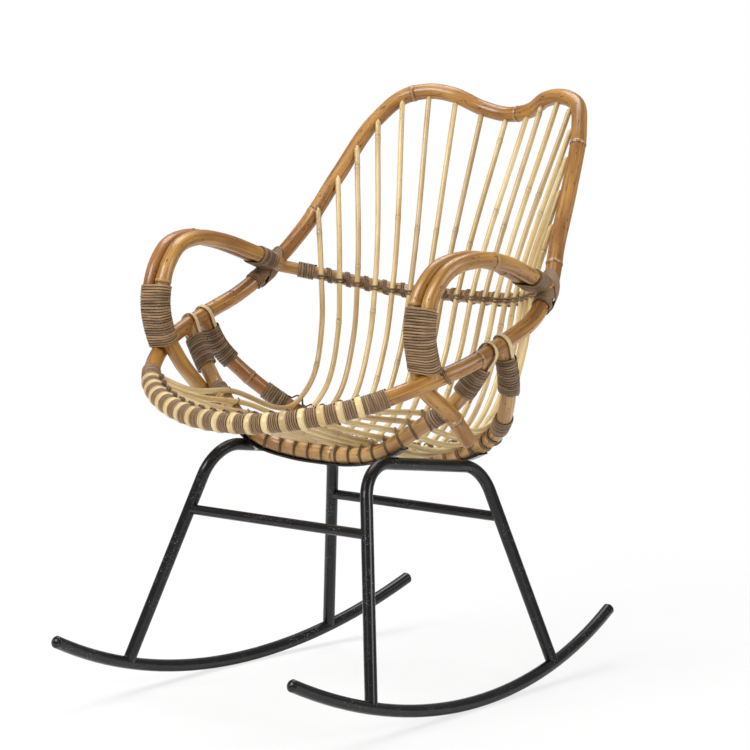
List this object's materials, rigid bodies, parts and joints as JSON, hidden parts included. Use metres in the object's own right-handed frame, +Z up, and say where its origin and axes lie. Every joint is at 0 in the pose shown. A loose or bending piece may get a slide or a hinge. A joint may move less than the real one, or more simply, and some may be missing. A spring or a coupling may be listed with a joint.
{
  "type": "rocking chair",
  "caption": "Rocking chair with a bucket seat of bent rattan canes in a hooped rattan frame with double-pole arms, carried on a black steel tube base with two curved rockers.",
  "frame": {"origin": "on the floor, at the centre of the chair's bounding box", "axes": "+Z up, -Y the way the chair faces, +X the sitter's left"},
  "size_m": [0.6526, 0.8697, 0.955],
  "materials": {
    "black_steel": "satin",
    "cap_plastic": "satin",
    "plated_steel": "dull plated",
    "honey_rattan": "varnished",
    "light_rattan": "varnished",
    "pale_cane": "varnished",
    "wound_cane": "varnished"
  },
  "bodies": {
    "root": {"arm_inner_left": "honey_rattan", "arm_inner_right": "honey_rattan", "arm_lashing_left": "wound_cane", "arm_lashing_right": "wound_cane", "arm_outer_left": "honey_rattan", "arm_outer_right": "honey_rattan", "arm_tail_nails": "plated_steel", "arm_wrap_left": "wound_cane", "arm_wrap_right": "wound_cane", "back_hoop": "honey_rattan", "front_cradle": "light_rattan", "front_rim": "honey_rattan", "front_seat_strap": "black_steel", "front_stretcher": "black_steel", "leg_frame_left": "black_steel", "leg_frame_right": "black_steel", "lumbar_rail": "light_rattan", "lumbar_wraps": "wound_cane", "rail_hooks": "wound_cane", "rear_cradle": "light_rattan", "rear_seat_strap": "black_steel", "rear_stretcher": "black_steel", "rim_binding": "wound_cane", "rocker_end_caps": "cap_plastic", "rocker_left": "black_steel", "rocker_right": "black_steel", "seat_bolts": "plated_steel", "seat_nuts": "plated_steel", "spoke_01": "pale_cane", "spoke_02": "pale_cane", "spoke_03": "pale_cane", "spoke_04": "pale_cane", "spoke_05": "pale_cane", "spoke_06": "pale_cane", "spoke_07": "pale_cane", "spoke_08": "pale_cane", "spoke_09": "pale_cane", "spoke_10": "pale_cane", "spoke_11": "pale_cane", "spoke_12": "pale_cane", "spoke_13": "pale_cane", "spoke_14": "pale_cane", "spoke_15": "pale_cane", "spoke_16": "pale_cane", "spoke_17": "pale_cane", "strut_lower_wraps": "wound_cane", "strut_upper_wraps": "wound_cane"}
  },
  "joints": []
}
